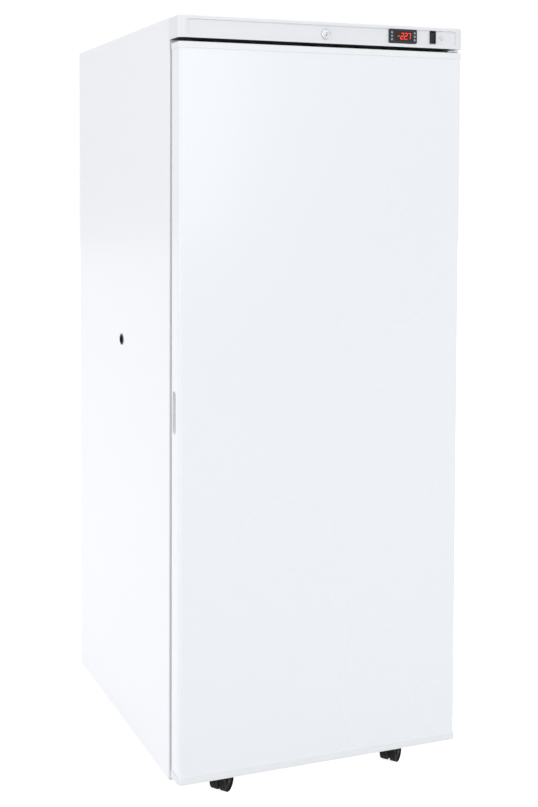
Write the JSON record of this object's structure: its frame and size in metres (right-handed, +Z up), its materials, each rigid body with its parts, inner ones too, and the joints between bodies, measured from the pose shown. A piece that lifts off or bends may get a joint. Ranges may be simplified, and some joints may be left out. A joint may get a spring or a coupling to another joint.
{
  "type": "laboratory freezer",
  "caption": "Upright laboratory freezer with one solid door, control hood with cam lock and digital controller, fixed evaporator shelves, side access port and castors.",
  "frame": {"origin": "on the floor under the middle of the freezer's footprint", "axes": "+Z up, +X to the right as the user faces the door, +Y towards the back"},
  "size_m": [0.765, 0.84, 1.9],
  "materials": {
    "white_paint": "satin",
    "white_plastic": "satin",
    "galvanised": "satin",
    "foam": "matte",
    "gasket": "matte",
    "bezel": "satin",
    "black_plastic": "satin",
    "display": "gloss",
    "keys": "satin",
    "chrome": "polished",
    "copper": "satin",
    "black_steel": "satin",
    "rubber": "matte",
    "castor_plastic": "satin",
    "lamp": "gloss"
  },
  "bodies": {
    "cabinet": {"left_side_panel": "white_paint", "right_side_panel": "white_paint", "top_panel": "white_paint", "back_panel": "galvanised", "base_pan": "galvanised", "inner_liner": "white_plastic", "insulation_foam": "foam", "front_frame": "white_paint", "access_port_sleeve": "black_plastic", "riser_tubes": "white_paint", "temperature_probe": "chrome", "control_hood": "white_paint", "fascia_plate": "white_paint", "lock_housing": "chrome", "controller_body": "black_plastic", "controller_bezel": "bezel", "display_window": "display", "switch_housing": "black_plastic", "pilot_lamp": "lamp", "hinge_brackets": "white_paint", "condenser_coil": "black_steel", "condenser_brackets": "black_steel", "compressor": "black_steel", "compressor_mounts": "rubber", "relay_cover": "black_plastic", "condensate_tray": "white_plastic", "filter_drier": "copper", "refrigerant_lines": "copper", "power_inlet": "black_plastic", "castor_plates": "galvanised", "evaporator_shelf_1": "white_paint", "evaporator_shelf_2": "white_paint", "evaporator_shelf_3": "white_paint", "evaporator_shelf_4": "white_paint", "evaporator_shelf_5": "white_paint"},
    "door": {"door_skin": "white_paint", "door_liner": "white_plastic", "door_foam": "foam", "door_top_cap": "white_plastic", "door_bottom_cap": "white_plastic", "door_gasket": "gasket", "grip_cup": "white_plastic", "hinge_bushes": "white_plastic"},
    "lock": {"lock_cylinder": "chrome", "lock_cam": "galvanised"},
    "rocker": {"switch_rocker": "black_plastic"},
    "button_1": {"controller_button_1": "keys"},
    "button_2": {"controller_button_2": "keys"},
    "button_3": {"controller_button_3": "keys"},
    "button_4": {"controller_button_4": "keys"},
    "button_5": {"controller_button_5": "keys"},
    "button_6": {"controller_button_6": "keys"},
    "castor_1": {"castor_1_housing": "castor_plastic"},
    "wheels_1": {"castor_1_wheels": "rubber"},
    "castor_2": {"castor_2_housing": "castor_plastic"},
    "wheels_2": {"castor_2_wheels": "rubber"},
    "castor_3": {"castor_3_housing": "castor_plastic"},
    "wheels_3": {"castor_3_wheels": "rubber"},
    "castor_4": {"castor_4_housing": "castor_plastic"},
    "wheels_4": {"castor_4_wheels": "rubber"}
  },
  "joints": [
    {"name": "door_hinge", "type": "hinge", "parent": "cabinet", "child": "door", "pos_m": [0.365, -0.394, 0.1], "axis": [0, 0, 1], "range_deg": [0, 110]},
    {"name": "lock_turn", "type": "hinge", "parent": "cabinet", "child": "lock", "pos_m": [0, -0.4, 1.8706], "axis": [0, 1, 0], "range_deg": [0, 90]},
    {"name": "rocker_tilt", "type": "hinge", "parent": "cabinet", "child": "rocker", "pos_m": [0.2965, -0.4125, 1.875], "axis": [-1, 0, 0], "range_deg": [0, 12]},
    {"name": "button_1_press", "type": "slide", "parent": "cabinet", "child": "button_1", "axis": [0, 1, 0], "range_m": [0, 0.0008], "stiffness_N_per_m": 200},
    {"name": "button_2_press", "type": "slide", "parent": "cabinet", "child": "button_2", "axis": [0, 1, 0], "range_m": [0, 0.0008], "stiffness_N_per_m": 200},
    {"name": "button_3_press", "type": "slide", "parent": "cabinet", "child": "button_3", "axis": [0, 1, 0], "range_m": [0, 0.0008], "stiffness_N_per_m": 200},
    {"name": "button_4_press", "type": "slide", "parent": "cabinet", "child": "button_4", "axis": [0, 1, 0], "range_m": [0, 0.0008], "stiffness_N_per_m": 200},
    {"name": "button_5_press", "type": "slide", "parent": "cabinet", "child": "button_5", "axis": [0, 1, 0], "range_m": [0, 0.0008], "stiffness_N_per_m": 200},
    {"name": "button_6_press", "type": "slide", "parent": "cabinet", "child": "button_6", "axis": [0, 1, 0], "range_m": [0, 0.0008], "stiffness_N_per_m": 200},
    {"name": "castor_1_swivel", "type": "hinge", "parent": "cabinet", "child": "castor_1", "pos_m": [-0.24, -0.325, 0.058], "axis": [0, 0, 1], "continuous": true},
    {"name": "castor_1_roll", "type": "hinge", "parent": "castor_1", "child": "wheels_1", "pos_m": [-0.22468, -0.31214, 0.025], "axis": [0.6428, -0.766, 0], "continuous": true},
    {"name": "castor_2_swivel", "type": "hinge", "parent": "cabinet", "child": "castor_2", "pos_m": [0.24, -0.325, 0.058], "axis": [0, 0, 1], "continuous": true},
    {"name": "castor_2_roll", "type": "hinge", "parent": "castor_2", "child": "wheels_2", "pos_m": [0.25532, -0.31214, 0.025], "axis": [0.6428, -0.766, 0], "continuous": true},
    {"name": "castor_3_swivel", "type": "hinge", "parent": "cabinet", "child": "castor_3", "pos_m": [-0.24, 0.31, 0.058], "axis": [0, 0, 1], "continuous": true},
    {"name": "castor_3_roll", "type": "hinge", "parent": "castor_3", "child": "wheels_3", "pos_m": [-0.22468, 0.32286, 0.025], "axis": [0.6428, -0.766, 0], "continuous": true},
    {"name": "castor_4_swivel", "type": "hinge", "parent": "cabinet", "child": "castor_4", "pos_m": [0.24, 0.31, 0.058], "axis": [0, 0, 1], "continuous": true},
    {"name": "castor_4_roll", "type": "hinge", "parent": "castor_4", "child": "wheels_4", "pos_m": [0.25532, 0.32286, 0.025], "axis": [0.6428, -0.766, 0], "continuous": true}
  ]
}
